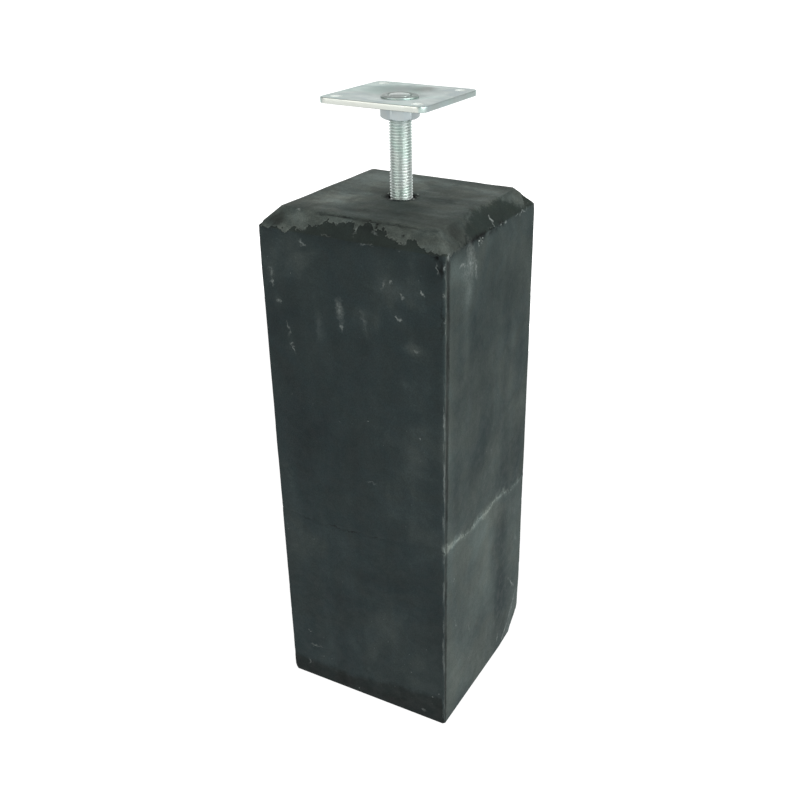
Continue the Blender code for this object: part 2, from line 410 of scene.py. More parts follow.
# Places on the block's sides are given as (how far round, how far up): 0 round is the -X -Y corner, 1 the
# +X -Y corner, and up is in mm along the surface, so the top chamfer runs from 485 to 506
blockFeatures = {
    # Where the floated coat of cement ends, as a depth in mm down the top chamfer
    "coatEdge": (
        (0, 18), (0.02, 21.3), (0.11, 20.4), (0.14, 20.5), (0.165, 23), (0.19, 17), (0.25, 19.7),
        (0.266, 14), (0.3, 15), (0.315, 13.6), (0.342, 8.5), (0.37, 8.5), (0.404, 10), (0.43, 7.6),
        (0.463, 6.3), (0.505, 6.8), (0.52, 15), (0.533, 8), (0.555, 4.4), (0.603, 4.6), (0.634, 8.6),
        (0.655, 5.2), (0.693, 7.5), (0.73, 12), (0.773, 15), (0.808, 14.6), (0.82, 9.2), (0.835, 9.4),
        (0.871, 14.5), (0.918, 19.3), (0.97, 18.5), (1.018, 22), (1.09, 21), (1.131, 22), (1.2, 19),
        (1.24, 12), (1.3, 6), (1.35, 3.6), (1.4, 1), (1.46, 0.2), (1.536, 1.5), (1.628, 1.2), (1.731, 1.9),
        (1.79, 5), (1.82, 12), (1.86, 17), (1.91, 15), (1.95, 11), (2, 8), (2.2, 12), (2.5, 9), (2.8, 15),
        (3, 11), (3.4, 16), (3.7, 12), (4, 18),
    ),
    "coatThickness": 0.7 * mm,
    "coatTeeth": 1.6 * mm,
    # The joint between two pours, as a height in mm
    "pourLine": (
        (0, 202.5), (0.116, 200), (0.27, 198), (0.44, 198.4), (0.56, 200.2), (0.75, 203.5), (0.97, 210.5),
        (1, 210), (1.07, 208.5), (1.145, 207), (1.26, 200.6), (1.378, 203), (1.5, 200.5), (1.6, 203.6),
        (1.7, 202), (1.8, 194.5), (1.97, 194.6), (2.5, 190), (3, 194), (4, 202.5),
    ),
    # The damp foot's upper edge, as a height in mm
    "dampEdge": (
        (0, 21), (0.04, 19), (0.2, 19), (0.38, 18), (0.55, 23), (0.69, 28), (0.82, 28.5), (0.985, 32),
        (1.0, -10), (2, -10), (2.2, 12), (2.6, 18), (3.3, 15), (4, 26),
    ),
    # Broken lower corners: signs, then up, along x and along y
    "breaks": (((1, 1), 26 * mm, 14 * mm, 24 * mm), ((-1, -1), 9 * mm, 4 * mm, 3.5 * mm)),
    "spall": {"height": 60 * mm, "depth": 2.5 * mm, "width": 52 * mm, "beyond": 2 * mm},
    # Pits: how far round, how far up, radius and depth in mm
    "pits": (
        (0.64, 503.8, 2.0, 2.0), (0.636, 500.8, 1.6, 1.6), (0.792, 497.3, 1.6, 1.4), (0.957, 482.7, 2.2, 1.8),
        (0.449, 483, 1.3, 1.2), (0.51, 483.9, 1.3, 1.2), (0.085, 491.2, 7, 0.5), (0.217, 395.9, 1.1, 0.9),
        (0.306, 395.3, 1.1, 0.9), (0.715, 497.5, 1.4, 1.0), (2.4, 300, 1.8, 1.2), (3.3, 410, 1.6, 1.2),
        (2.7, 120, 2.0, 1.3), (2.2, 455, 1.5, 1.0), (3.6, 230, 1.6, 1.0),
    ),
    # The crack along the coat's upper edge: where it runs, how far down the chamfer, width and depth
    "crack": {"from": 0.22, "to": 1.06, "down": 1.6 * mm, "width": 0.5 * mm, "depth": 0.7 * mm},
    # The mould's fin along the front arris: its ridge and the groove beside it, as distances from the arris,
    # + on the +X side, at the foot, at the joint and at the shoulder
    "fin": {
        "at": (0, 0.2, 0.485),
        "ridge": (-1.0 * mm, -1.5 * mm, 0.1 * mm),
        "groove": (1.8 * mm, 2.8 * mm, 6 * mm),
        "grooveWidth": (1.4 * mm, 2.0 * mm, 2.4 * mm),
        "width": 0.8 * mm,
        "height": 0.4 * mm,
        "depth": 0.7 * mm,
    },
    "broadRelief": 0.22 * mm,
    "fineRelief": 0.07 * mm,
    "arrisNibble": 0.35 * mm,
    "chipDepth": 1.5 * mm,
    "jointRidge": 0.6 * mm,
    "jointGroove": 0.3 * mm,
    "jointLump": {"at": 206 * mm, "height": 1.3 * mm},
    "breakRoughness": 0.9 * mm,
    "rimWear": 1.2 * mm,
    # Paler (+) and darker (-) clouds on the sides: round, up, half width and half height in mm, strength
    "sideClouds": (
        (0.21, 461, 18, 22, 0.35), (0.42, 460, 12, 15, 0.4), (0.82, 447, 20, 13, 0.4),
        (0.45, 483, 60, 7, -0.15), (0.94, 472, 16, 14, -0.8), (0.35, 300, 50, 60, -0.4),
        (0.58, 231, 60, 40, 0.2), (0.663, 105, 17, 19, 0.32), (0.424, 62, 11, 10, 0.4),
        (0.354, 117, 24, 9, -0.3), (0.6, 151, 40, 8, -0.3), (0.841, 401, 9, 6, 0.9),
        (0.757, 425, 8, 7, 0.6), (0.7, 453, 12, 9, 0.5), (0.441, 424, 4, 9, 0.8), (0.448, 408, 3, 6, 0.5),
        (0.32, 404, 4, 14, 0.3), (0.575, 417, 5, 12, 0.35), (0.06, 443, 3, 10, 0.5), (0.09, 421, 4, 6, 0.5),
        (0.15, 388, 4, 14, 0.35), (0.16, 320, 22, 60, -0.2), (0.86, 300, 14, 80, 0.2),
        (0.86, 60, 20, 25, 0.2), (0.2, 90, 30, 40, 0.15), (0.5, 8, 60, 8, -0.5), (1.05, 330, 8, 140, 0.35),
        (1.2, 462, 26, 16, 0.6), (1.23, 446, 11, 20, 0.55), (1.22, 400, 5, 42, 0.35),
        (1.1, 470, 12, 12, 0.6), (1.525, 421, 24, 40, -0.4), (1.325, 394, 11, 18, -0.3),
        (1.775, 364, 10, 9, 0.5), (1.68, 457, 14, 18, 0.35), (1.74, 338, 7, 42, 0.35),
        (1.44, 289, 24, 50, -0.45), (1.765, 313, 12, 20, 0.3), (1.19, 270, 5, 60, 0.2),
        (1.44, 240, 14, 14, 0.2), (1.9, 400, 12, 80, -0.3), (1.9, 250, 10, 40, -0.2),
        (1.4, 179, 32, 20, 0.75), (1.5, 128, 18, 44, 0.75), (1.17, 127, 22, 34, 0.15),
        (1.71, 84, 13, 60, -0.9), (1.72, 165, 12, 30, -0.6), (1.9, 124, 9, 30, 0.2),
        (1.39, 66, 22, 18, -0.3), (1.15, 46, 13, 30, 0.4), (1.22, 5, 24, 6, -0.5), (1.82, 60, 10, 30, -0.4),
        (2.4, 350, 40, 60, 0.4), (2.7, 150, 50, 40, -0.4), (3.3, 260, 50, 60, 0.3),
        (3.6, 420, 40, 30, -0.4), (1.15, 495, 22, 14, -1.3), (0.045, 495, 7, 7, -1.5),
        (0.93, 498, 10, 6, 0.3), (0.08, 492, 8, 6, -0.5), (0.3, 500, 40, 4, 0.35), (0.6, 500, 20, 4, -0.4),
        (0.86, 497, 8, 6, -0.4), (0.15, 497, 10, 7, 0.4), (1.88, 494, 7, 7, 0.9), (1.02, 430, 5, 60, 0.7),
        (1.018, 300, 5, 150, 0.5), (1.6, 492, 40, 8, -0.5),
    ),
    # The same on the top: x, y, half length along x and half width in mm, strength; the darker ones at (20,
    # -23) and (0, -22) are a painted shadow in front of the hole
    "topClouds": (
        (-54, 46, 9, 4, 1.1), (-69, 34, 9, 4, 0.7), (-32, -5, 8, 5, 0.9), (-54, -45, 22, 10, 0.35),
        (-42, -36, 32, 22, 0.7), (14, 25, 11, 2.2, 1.0), (49, -8, 12, 2.6, 0.6), (30, -50, 30, 9, -0.55),
        (20, -23, 13, 7, -1.0), (24, 7, 16, 2.6, -0.6), (-55, -71, 14, 4, -0.5), (-12, -66, 20, 4, 0.35),
        (57, -40, 14, 6, 0.35), (50, 0, 12, 2.4, -0.7), (54, 47, 22, 8, 0.3), (62, 60, 12, 8, 0.45),
        (-48, 28, 26, 40, 0.45), (-20, 55, 40, 8, 0.2), (70, -15, 5, 18, -0.4), (0, -40, 40, 3, 0.3),
        (-30, -58, 26, 2.4, -0.4), (40, 20, 24, 3, 0.35), (10, 66, 30, 4, -0.3), (-60, -10, 12, 20, 0.2),
        (40, -66, 26, 3, -0.3), (-45, 50, 50, 34, 1.5), (40, 55, 50, 26, 0.9), (-60, -10, 30, 50, 1.15),
        (15, -45, 60, 22, -0.25), (0, -22, 14, 10, -0.4), (68, 40, 8, 40, 0.3), (62, 0, 18, 50, 0.45),
    ),
}


def gradedSteps(start, end, coarse, fine, zones):
    steps = [start]
    while steps[-1] < end:
        inZone = any(low <= steps[-1] < high for low, high in zones)
        steps.append(steps[-1] + (fine if inZone else coarse))
    steps = np.array(steps)
    return start + (steps - start) * (end - start) / (steps[-1] - start)


def blockRing(half, arris, sideShares):
    # One turn round a square with cut corners, and how far round each point is, in sides
    flat = half - arris
    turns = []
    rounds = []
    for side, shares in enumerate(sideShares):
        angle = side * math.pi / 2
        along = np.concatenate([shares * flat, flat + arris * np.array([0.25, 0.5, 0.75])])
        out = np.concatenate([np.full(len(shares), half), half - arris * np.array([0.25, 0.5, 0.75])])
        turns.append(np.stack([
            along * math.cos(angle) + out * math.sin(angle),
            along * math.sin(angle) - out * math.cos(angle),
        ], 1))
        rounds.append(side + (along + half) / (2 * half))
    return np.concatenate(turns), np.concatenate(rounds)


def wrapBlock(shape):
    # Rows of points from the underside's middle, up the sides, over the top and down the hole
    half = blockHalf
    flat = half - shape["arris"]
    reach = shape["columnFineReach"]
    zones = ((-flat, -flat + reach), (flat - reach, flat))
    stepPairs = zip(shape["columnSteps"], shape["columnFineSteps"])
    shares = [gradedSteps(-flat, flat, coarse, fine, zones) / flat for coarse, fine in stepPairs]
    outline, rounds = blockRing(half, shape["arris"], shares)
    plateau, _ = blockRing(half - shape["chamfer"], shape["arris"], shares)
    angles = np.arctan2(plateau[:, 1], plateau[:, 0])
    rim = shape["holeRadius"] * np.stack([np.cos(angles), np.sin(angles)], 1)
    shoulder = blockTop - shape["chamfer"]
    slope = shape["chamfer"] * math.sqrt(2)
    rows = []
    climbs = []

    def addRow(points, z, climb):
        rows.append(np.column_stack([points, np.full(len(points), z)]))
        climbs.append(climb)

    for step in range(1, shape["underRows"]):
        addRow(outline * step / shape["underRows"], 0, -half * (1 - step / shape["underRows"]))
    for z in gradedSteps(0, shoulder, shape["rowStep"], shape["rowFineStep"], shape["rowFineZones"]):
        addRow(outline, z, z)
    for step in range(1, shape["chamferRows"] + 1):
        share = step / shape["chamferRows"]
        points = outline * (1 - share) + plateau * share
        addRow(points, shoulder + share * shape["chamfer"], shoulder + share * slope)
    for step in range(1, shape["topRows"] + 1):
        share = step / shape["topRows"]
        inward = share * (half - shape["chamfer"] - shape["holeRadius"])
        addRow(plateau * (1 - share) + rim * share, blockTop, shoulder + slope + inward)
    inward = half - shape["chamfer"] - shape["holeRadius"]
    for step in range(1, shape["holeRows"] + 1):
        drop = shape["holeDepth"] * (step / shape["holeRows"])**2
        addRow(rim, blockTop - drop, shoulder + slope + inward + drop)
    return np.array(rows), np.array(climbs), rounds


def cutPlanes(features):
    # Planes of the breaks as (a point, the outward normal)
    planes = []
    for (sx, sy), up, alongX, alongY in features["breaks"]:
        corner = np.array([sx * blockHalf, sy * blockHalf, 0])
        top = corner + [0, 0, up]
        onX = corner - [sx * alongX, 0, 0]
        onY = corner - [0, sy * alongY, 0]
        normal = np.cross(onX - top, onY - top)
        planes.append((top, normal * np.sign(normal @ (corner - top))))
    spall = features["spall"]
    top = np.array([blockHalf, blockHalf + spall["beyond"], spall["height"]])
    foot = np.array([blockHalf, blockHalf - spall["width"], -spall["beyond"]])
    deep = np.array([blockHalf - spall["depth"], blockHalf + spall["beyond"], -spall["beyond"]])
    normal = np.cross(foot - top, deep - top)
    planes.append((top, normal * np.sign(normal[0])))
    return [(point, normal / np.linalg.norm(normal)) for point, normal in planes]


def castMesh(shape):
    # The block's mesh, and how far round and how far up its surface each point is
    rows, climbs, rounds = wrapBlock(shape)
    rowCount, columnCount, _ = rows.shape
    faces = gridFaces(rowCount, columnCount)
    underId = rowCount * columnCount
    lastRow = underId - columnCount
    for column in range(columnCount):
        nextColumn = (column + 1) % columnCount
        faces.append((underId, nextColumn, column))
        faces.append((underId + 1, lastRow + column, lastRow + nextColumn))
    middles = [[0, 0, 0], [0, 0, blockTop - shape["holeDepth"]]]
    block = meshObject("cast_block", np.concatenate([rows.reshape(-1, 3), middles]), faces)
    round4 = np.append(np.tile(rounds, rowCount), [0, 0])
    climb = np.append(np.repeat(climbs, columnCount), climbs[[0, -1]])
    return block, round4, climb


def bell(distance, width):
    return np.exp(-(distance / width)**2)


def cloudTone(aside, unit, up, clouds):
    tone = np.zeros(len(up))
    for middle, height, halfWidth, halfHeight, strength in clouds:
        wide = bell(aside - middle * unit, halfWidth * mm)
        tone += strength * wide * bell(up - height * mm, halfHeight * mm)
    return tone


def makeBlock(shape, features):
    block, round4, climb = castMesh(shape)
    mesh = block.data
    place0 = vertexArray(mesh)
    shoulder = blockTop - shape["chamfer"]
    plateauClimb = shoulder + shape["chamfer"] * math.sqrt(2)
    rimClimb = plateauClimb + blockHalf - shape["chamfer"] - shape["holeRadius"]

    # Breaks: what lies outside a plane is pulled back onto it and left rough
    broken = np.zeros(len(place0))
    for point, normal in cutPlanes(features):
        beyond = np.maximum((place0 - point) @ normal, 0)
        place0 = place0 - beyond[:, None] * normal
        broken = np.maximum(broken, smoothStep(beyond, 0, 1.2 * mm))
    writeVertices(mesh, place0)
    normals = vertexArray(mesh, "normal")

    def waver(cell, seed, stretch=(1, 1, 1)):
        return layeredNoise(place0 * stretch, cell * mm, seed)

    def lineRound(name):
        return np.interp(round4, *np.array(features[name]).T) * mm

    # Distances that the relief and the colours share
    down = plateauClimb - climb
    coat = lineRound("coatEdge") + features["coatTeeth"] * waver(6, 11, (1, 1, 0.5)) - down
    pour = climb - lineRound("pourLine") + 1.0 * mm * waver(14, 23)
    damp = lineRound("dampEdge") - climb + 1.8 * mm * waver(15, 29)
    across = (round4 - 1) * blockWidth
    offArris = np.minimum(round4 % 1, 1 - round4 % 1) * blockWidth
    sides = (climb > 0) & (climb < shoulder)
    rightSide = smoothStep(round4, 0.97, 1.0) * (1 - smoothStep(round4, 1.98, 2.02))

    # Soft clouds of paler and darker concrete, and on the top a painted shadow in front of the hole
    tone = 0.25 * waver(40, 79, (1, 1, 0.6))
    tone += cloudTone(round4 * blockWidth, blockWidth, climb, features["sideClouds"]) * (climb < plateauClimb)
    tone += cloudTone(place0[:, 0], mm, place0[:, 1], features["topClouds"]) * (climb >= plateauClimb)

    # The coat and the crack along its upper edge
    coatLayer = smoothStep(coat, -0.2 * mm, 1.6 * mm)
    crack = features["crack"]
    along = smoothStep(round4, crack["from"], crack["from"] + 0.05)
    along *= 1 - smoothStep(round4, crack["to"] - 0.05, crack["to"])
    along *= 0.35 + 0.65 * smoothStep(waver(18, 37), -0.6, 0.1)
    crackMask = bell(down - crack["down"] - 0.7 * mm * waver(16, 31), crack["width"]) * along
    push = features["broadRelief"] * waver(45, 3)
    push += features["fineRelief"] * waver(6, 5)
    push += features["coatThickness"] * (coatLayer - 0.3) * smoothStep(climb, 0.44, 0.47)
    push += 0.3 * mm * waver(16, 41, (1, 0.5, 1)) * coatLayer
    push -= crack["depth"] * crackMask

    # Nibbled arrises and a chipped shoulder
    nibble = smoothStep(waver(11, 43, (0.4, 0.4, 1)), 0.12, 0.75)
    push -= features["arrisNibble"] * nibble * (1 - smoothStep(offArris, 1.5 * mm, 5 * mm)) * sides
    shoulderLine = bell(climb - shoulder + 0.6 * mm, 3.2 * mm)
    edgeChips = smoothStep(waver(6, 47), -0.25, 0.2) * shoulderLine * (coat < 0)
    chipped = smoothStep(round4, 1.2, 1.3) * (1 - smoothStep(round4, 1.58, 1.68))
    push -= features["chipDepth"] * edgeChips * (0.25 + 0.75 * chipped)

    # The joint between the pours: a rough ridge on the +X side, a groove elsewhere, a lump at the arris
    push += bell(pour, 2.4 * mm) * rightSide * features["jointRidge"] * (0.3 + waver(4, 53))
    push -= bell(pour, 1.2 * mm) * (1 - rightSide) * features["jointGroove"]
    jointLump = features["jointLump"]
    lump = bell(across, 4.5 * mm) * bell(climb - jointLump["at"], 5 * mm)
    push += jointLump["height"] * lump * (0.6 + waver(3.5, 59))
    push += broken * features["breakRoughness"] * waver(8, 61)

    fin = features["fin"]
    ridge, groove, grooveWidth = (
        np.interp(climb, fin["at"], fin[key]) for key in ("ridge", "groove", "grooveWidth")
    )
    finWear = 0.35 + 0.65 * smoothStep(waver(14, 73, (0.3, 0.3, 1)), -0.4, 0.3)
    finRelief = fin["height"] * bell(across - ridge, fin["width"])
    finRelief -= fin["depth"] * bell(across - groove, grooveWidth)
    push += finRelief * finWear * sides

    pits = np.zeros(len(place0))
    for share, height, radius, depth in features["pits"]:
        gap = np.hypot((round4 - share) * blockWidth, climb - height * mm)
        dent = 1 - smoothStep(gap, 0.3 * radius * mm, radius * mm)
        push -= depth * mm * dent
        pits = np.maximum(pits, dent * min(1, depth / 1.1))
    rimWear = bell(climb - rimClimb, 1.8 * mm) * (climb <= rimClimb)
    push -= rimWear * features["rimWear"] * smoothStep(waver(5, 67), -0.5, 0.4)
    push *= (climb > 0) & (climb < rimClimb)
    writeVertices(mesh, place0 + normals * push[:, None])

    # Painted shade at the hole's mouth round the rod, darkest on the side towards the -Y +X corner
    fromMiddle = np.maximum(np.hypot(place0[:, 0], place0[:, 1]), 1e-6)
    facing = 0.5 + 0.5 * (0.5 * place0[:, 0] - 0.86 * place0[:, 1]) / fromMiddle
    outward = np.maximum(fromMiddle - shape["holeRadius"], 0) / (1.6 * mm + 4.4 * mm * facing)
    mouth = 0.95 * np.exp(-outward**3) * (climb > plateauClimb)
    # Painted shade in the crack, the pits, the shoulder's chips and the hole's mouth
    paintedRecessShade = np.maximum.reduce([crackMask, pits, mouth, edgeChips * (0.15 + 0.85 * chipped)])
    values = {
        "coatDistance": coat, "pourDistance": pour, "dampDistance": damp, "roundBlock": round4,
        "climb": climb, "tone": tone, "paintedRecessShade": paintedRecessShade, "broken": broken,
    }
    for name, value in values.items():
        writeValue(mesh, name, value)
    smoothShade(block)
    return block


# Marks on the concrete, each a soft stroke: round and up at both ends, width in mm, strength
paleMarks = (
    (1.25, 485, 1.26, 458, 6.5, 0.34), (1.262, 470, 1.27, 455, 3.2, 0.3),
    (1.141, 469, 1.2, 468.5, 1.6, 0.6), (1.2, 468.5, 1.324, 464.8, 1.5, 0.6),
    (1.304, 468, 1.316, 449.8, 1.5, 0.5), (1.15, 462, 1.27, 458, 2.0, 0.3),
    (1.24, 452, 1.235, 436, 6, 0.18), (1.2, 466, 1.22, 455, 7, 0.14), (1.03, 485, 1.045, 479, 1.8, 0.8),
    (1.012, 480, 1.012, 430, 1.3, 0.3), (1.351, 482.7, 1.361, 478.9, 1.2, 0.8),
    (1.33, 481, 1.335, 476, 1.0, 0.6), (1.528, 495.7, 1.521, 491.1, 1.3, 1.8),
    (1.515, 489, 1.51, 487, 0.8, 0.8), (1.571, 484.8, 1.6, 484.4, 0.9, 0.9),
    (1.61, 484.2, 1.643, 484, 0.8, 0.8), (1.76, 482.6, 1.79, 483.4, 0.8, 0.7),
    (1.8, 483.2, 1.896, 483.8, 0.8, 0.9), (1.46, 486, 1.48, 487, 0.7, 0.6),
    (0.246, 478.5, 0.25, 475.5, 1.0, 0.4), (0.25, 475.5, 0.27, 473.6, 1.0, 0.45),
    (0.26, 477, 0.266, 474, 0.9, 0.4), (0.523, 497.1, 0.521, 491.2, 1.2, 0.5),
    (0.53, 499, 0.523, 496, 1.0, 0.5), (0.55, 484.2, 0.64, 484.4, 0.7, 0.3),
    (0.34, 487, 0.42, 486.2, 0.6, 0.25), (0.12, 505.8, 0.13, 504.8, 1.2, 0.8),
    (0.62, 496.5, 0.65, 495.8, 1.2, 0.5), (0.724, 456.8, 0.726, 455.4, 1.2, 0.9),
    (0.7, 456.5, 0.677, 449.5, 1.3, 0.3), (0.885, 452, 0.887, 450.6, 1.3, 0.7),
    (0.775, 447, 0.783, 443.8, 1.2, 0.5), (0.75, 425.4, 0.753, 424.4, 1.2, 0.8),
    (0.765, 424.6, 0.768, 425.4, 1.1, 0.8), (0.835, 399.6, 0.86, 399, 1.0, 0.4),
    (0.439, 430, 0.444, 415, 3.6, 0.3), (0.447, 408.4, 0.449, 405, 1.2, 0.4),
    (0.062, 449, 0.064, 443, 1.4, 0.35), (0.066, 438.4, 0.069, 434.5, 1.3, 0.55),
    (0.09, 421.5, 0.098, 418.6, 1.3, 0.55), (0.13, 402, 0.148, 390, 1.2, 0.3),
    (0.148, 382, 0.15, 378.6, 1.3, 0.5), (0.16, 378, 0.166, 375, 1.0, 0.5),
    (0.128, 59, 0.13, 58.6, 1.0, 0.6), (0.139, 40.6, 0.17, 40, 1.0, 0.4),
    (0.15, 42.4, 0.215, 40.8, 0.8, 0.3), (0.112, 18, 0.112, 14, 0.9, 0.45),
    (0.86, 9.4, 0.88, 8.4, 1.4, 0.4), (0.55, 259.6, 0.62, 260, 0.7, 0.2),
    (1.102, 164.6, 1.103, 163.8, 1.1, 0.8), (1.129, 107, 1.131, 105.4, 1.2, 0.9),
    (1.13, 110, 1.11, 118, 1.0, 0.3), (1.825, 80.9, 1.827, 80, 1.1, 1.1), (1.84, 76, 1.92, 58, 0.9, 0.8),
    (1.95, 50, 1.88, 31, 2.0, 0.6), (1.9, 36, 1.85, 20, 1.6, 0.7), (1.835, 19, 1.765, 5.4, 1.6, 0.8),
    (1.69, 18.5, 1.682, 12, 1.4, 0.7), (1.775, 8, 1.75, 5, 1.2, 0.7), (1.9, 130, 1.93, 118, 1.2, 0.4),
    (1.3, 88, 1.29, 76, 1.2, 0.3), (0.957, 479, 0.966, 470, 0.9, 0.45), (1.0, 453, 1.0, 450, 1.4, 0.6),
    (1.008, 442, 1.008, 439, 1.3, 0.6), (0.329, 418, 0.313, 392, 2.5, 0.06),
    (0.557, 430, 0.59, 405, 2.0, 0.12), (1.001, 433, 1.001, 430, 1.2, 0.5), (1.0, 478, 1.0, 475, 1.2, 0.6),
)
darkMarks = (
    (0.977, 482, 0.982, 466, 1.8, 0.8), (0.93, 484, 0.97, 483, 1.0, 0.6),
    (0.984, 462, 0.984, 400, 1.0, 0.5), (0.53, 505.2, 0.66, 504.4, 1.0, 0.8),
    (0.35, 505.5, 0.53, 505, 0.8, 0.6), (0.24, 505.8, 0.34, 505.5, 0.8, 0.4),
    (0.66, 504.6, 0.84, 504.9, 0.8, 0.5), (1.28, 484.9, 1.36, 484.4, 1.3, 0.8),
    (1.37, 484.3, 1.42, 484.6, 1.2, 0.7), (1.44, 484.2, 1.5, 484.6, 1.3, 0.9),
    (1.52, 484.6, 1.55, 484.8, 1.0, 0.7), (1.88, 486, 1.95, 485.2, 1.2, 0.7),
    (1.14, 484, 1.25, 485.8, 1.2, 0.7), (0.42, 198.3, 0.5, 199, 1.0, 0.8),
    (0.27, 198, 0.42, 198.3, 0.8, 0.65), (0.5, 199, 0.65, 201.8, 0.8, 0.5),
    (0.05, 201, 0.27, 198, 0.9, 0.35), (0.33, 118, 0.37, 116.6, 0.8, 0.35), (0.4, 151, 0.43, 150, 0.7, 0.3),
)


def markField(nodes, marks):
    # The strongest of several soft strokes, each a long ellipse on the wrapped surface
    wander, wanderUp = (sway(nodes.noise(nodes.here, scale, 3, 0.6), 11 * mm) for scale in (210, 170))
    aside = nodes.vertex("roundBlock").math("MULTIPLY_ADD", blockWidth, wander)
    wrapped = nodes.add("ShaderNodeCombineXYZ", {0: aside, 1: nodes.vertex("climb") + wanderUp})
    total = 0.0
    for startRound, startUp, endRound, endUp, width, strength in marks:
        start = Vector((startRound * blockWidth, startUp * mm, 0))
        end = Vector((endRound * blockWidth, endUp * mm, 0))
        line = end - start
        laid = nodes.add("ShaderNodeMapping", {
            "Vector": wrapped,
            "Location": (start + end) / 2,
            "Rotation": (0, 0, math.atan2(line.y, line.x)),
            "Scale": (line.length / 2 + 1.5 * width * mm, 1.4 * width * mm, 1),
        }, vector_type="TEXTURE")
        stroke = nodes.add("ShaderNodeTexGradient", {"Vector": laid}, "Fac", gradient_type="SPHERICAL")
        total = larger(stroke * (1.25 * strength), total)
    return total


def alongHeight(nodes, heights, values):
    # A value that changes evenly between three heights up the block
    climb = nodes.vertex("climb")
    lower = nodes.ramp(climb, heights[0], heights[1], values[0], values[1], "LINEAR")
    return lower + nodes.ramp(climb, heights[1], heights[2], 0, values[2] - values[1], "LINEAR")


def arrisLine(nodes, spots, widths, wear):
    # A broken line along the front arris, + on the +X side, at the heights of the fin
    heights = blockFeatures["fin"]["at"]
    across = nodes.vertex("roundBlock").math("MULTIPLY_ADD", blockWidth, -blockWidth)
    gap = across - alongHeight(nodes, heights, spots) + sway(nodes.noise(nodes.here, 120, 4, 0.65), 3.2 * mm)
    width = alongHeight(nodes, heights, widths)
    return nodes.ramp(abs(gap), width * 0.25, width, 1, 0) * wear


concreteLook = {
    # Colours from darkest to chalkiest, for the moulded sides and for the floated coat on top
    "sides": (
        (0.0, (0.007, 0.010, 0.010)), (0.2, (0.013, 0.020, 0.021)), (0.4, (0.022, 0.033, 0.034)),
        (0.6, (0.052, 0.066, 0.064)), (0.8, (0.088, 0.108, 0.104)), (1.0, (0.19, 0.22, 0.21)),
    ),
    "coat": (
        (0.0, (0.013, 0.0155, 0.014)), (0.3, (0.038, 0.0472, 0.0425)), (0.5, (0.061, 0.0752, 0.0685)),
        (0.75, (0.115, 0.135, 0.1225)), (1.0, (0.22, 0.255, 0.235)),
    ),
    "sideLevel": 0.365,
    # Painted light: the +X side is made paler to add to what the key lamp gives it
    "rightLevel": 0.15,          # how much paler the +X side is
    "coatLevel": 0.515,
    "bareChamfer": (0.03, 0.068),   # how much darker the bare chamfer is than the side below, and more on +X
    "lowerPour": 0.115,
    "damp": 0.24,
    "wet": (1.02, 0.99, 0.92),
    "chamferTint": (1.15, 1.05, 0.91),
    "rightTint": (1.01, 1.04, 1.0),
    "cool": (0.88, 1.0, 1.08),
    "warm": (1.08, 1.0, 0.93),
    "chalk": (0.25, 0.28, 0.27),
    # Near-black for dark marks and grain, and for painted shade in recesses, under the coat's torn edge and
    # in the fin's groove
    "pit": (0.003, 0.004, 0.004),
    "roughness": (0.6, 0.85),
    "specular": 0.15,
}


